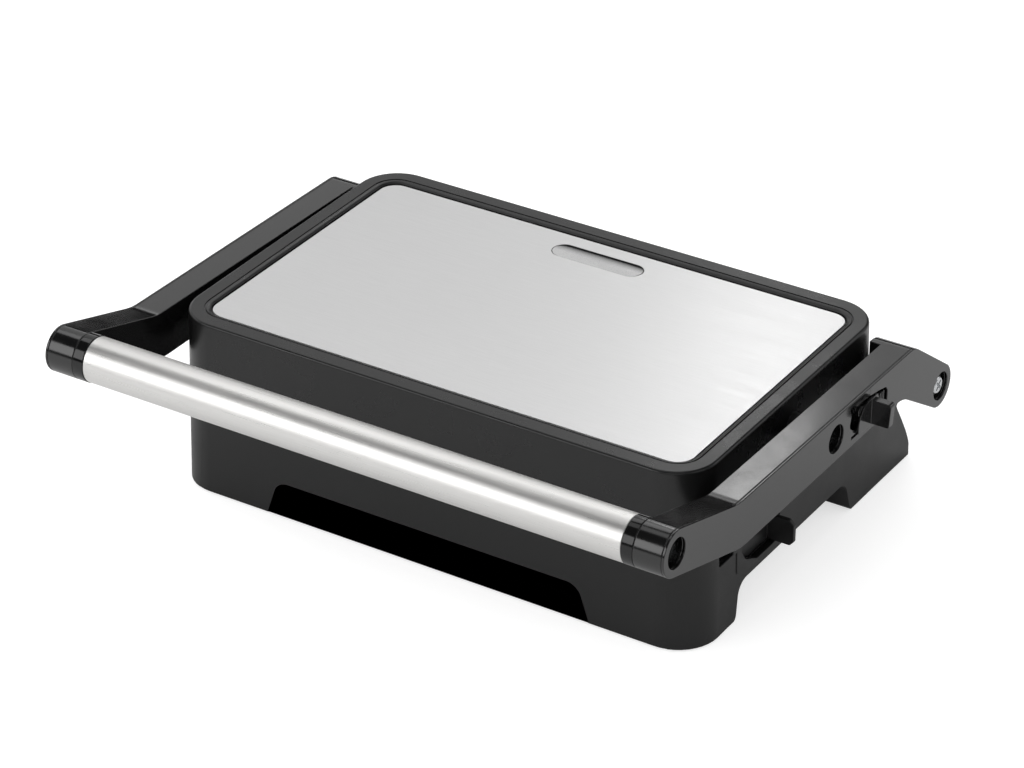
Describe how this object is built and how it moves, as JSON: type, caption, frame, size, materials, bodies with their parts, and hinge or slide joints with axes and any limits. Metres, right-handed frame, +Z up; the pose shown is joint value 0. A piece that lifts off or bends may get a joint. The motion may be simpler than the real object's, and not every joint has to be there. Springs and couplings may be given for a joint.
{
  "type": "panini press",
  "caption": "Compact contact grill with ribbed hot plates, a floating lid on two side arms, a cross-bar handle and a fold-flat rear hinge.",
  "frame": {"origin": "middle of the footprint, on the surface the press stands on", "axes": "+X to the right seen from the front and along the handle, +Y from the handle to the rear hinge, +Z up"},
  "size_m": [0.3053, 0.2485, 0.0946],
  "materials": {
    "base_plastic": "satin black moulded nylon",
    "arm_plastic": "smooth black, half gloss",
    "ferrule_plastic": "high-gloss black",
    "lid_plastic": "smooth black, half gloss",
    "brushed_panel": "fine satin, brushed along the width",
    "brushed_tube": "brushed along the tube",
    "screw_steel": "bright zinc plating",
    "nonstick_cast": "die cast with black non-stick coating",
    "element_sheath": "heat-tinted steel sheath",
    "shield_sheet": "aluminised sheet, satin",
    "thermostat_body": "plain pressed cap",
    "ceramic_sleeve": "unglazed ceramic",
    "terminal_plastic": "cream nylon",
    "bush_brass": "turned",
    "pad_rubber": "matt",
    "lens_clear": "smoke-clear, ribbed inside",
    "lamp_red": "tinted lamp",
    "lamp_green": "tinted lamp"
  },
  "bodies": {
    "base": {"base_shell": "base_plastic", "base_cover": "base_plastic", "cover_screws": "screw_steel", "foot_pads": "pad_rubber", "cord_gland": "base_plastic", "cord_clamp": "screw_steel", "clamp_screws": "screw_steel", "terminal_block": "terminal_plastic", "terminal_screws": "screw_steel", "lower_grill_plate": "nonstick_cast", "lower_heating_element": "element_sheath", "lower_element_clamps": "shield_sheet", "lower_heat_shield": "shield_sheet", "lower_thermostat": "thermostat_body", "lower_plate_screws": "screw_steel", "thermal_fuse": "ceramic_sleeve", "hinge_screws": "screw_steel", "lock_guide": "base_plastic", "lock_detent_spring": "screw_steel"},
    "arms": {"arm_body_left": "arm_plastic", "arm_body_right": "arm_plastic", "arm_cover_left": "arm_plastic", "arm_cover_right": "arm_plastic", "cover_clip_pins": "arm_plastic", "hinge_bushes": "bush_brass", "handle_tube": "brushed_tube", "handle_ferrules": "ferrule_plastic", "handle_tie_rod": "screw_steel", "handle_screws": "screw_steel", "release_spring": "screw_steel"},
    "lid": {"lid_shell": "lid_plastic", "top_panel": "brushed_panel", "indicator_lens": "lens_clear", "lamp_holder": "terminal_plastic", "power_lamp": "lamp_red", "ready_lamp": "lamp_green", "upper_grill_plate": "nonstick_cast", "upper_heating_element": "element_sheath", "upper_element_clamps": "shield_sheet", "upper_heat_shield": "shield_sheet", "upper_thermostat": "thermostat_body", "upper_plate_screws": "screw_steel", "pivot_screws": "screw_steel"},
    "lock": {"lock_slider": "base_plastic"},
    "release": {"release_slider": "arm_plastic"}
  },
  "joints": [
    {"name": "arm_hinge", "type": "hinge", "parent": "base", "child": "arms", "pos_m": [-0.0052, 0.11175, 0.0459], "axis": [-1, 0, 0], "range_deg": [0, 179]},
    {"name": "lid_tilt", "type": "hinge", "parent": "arms", "child": "lid", "pos_m": [-0.0052, 0.01535, 0.0687], "axis": [-1, 0, 0], "range_deg": [0, 1.01]},
    {"name": "lock_slide", "type": "slide", "parent": "base", "child": "lock", "axis": [0, -1, 0], "range_m": [0, 0.011]},
    {"name": "release_slide", "type": "slide", "parent": "arms", "child": "release", "axis": [0, -1, 0], "range_m": [0, 0.005], "stiffness_N_per_m": 300, "springref_m": -0.004, "deforming": ["release_spring"]}
  ],
  "couplings": [
    {"joint": "lid_tilt", "follows": "arm_hinge", "ratio": 0.005587}
  ]
}
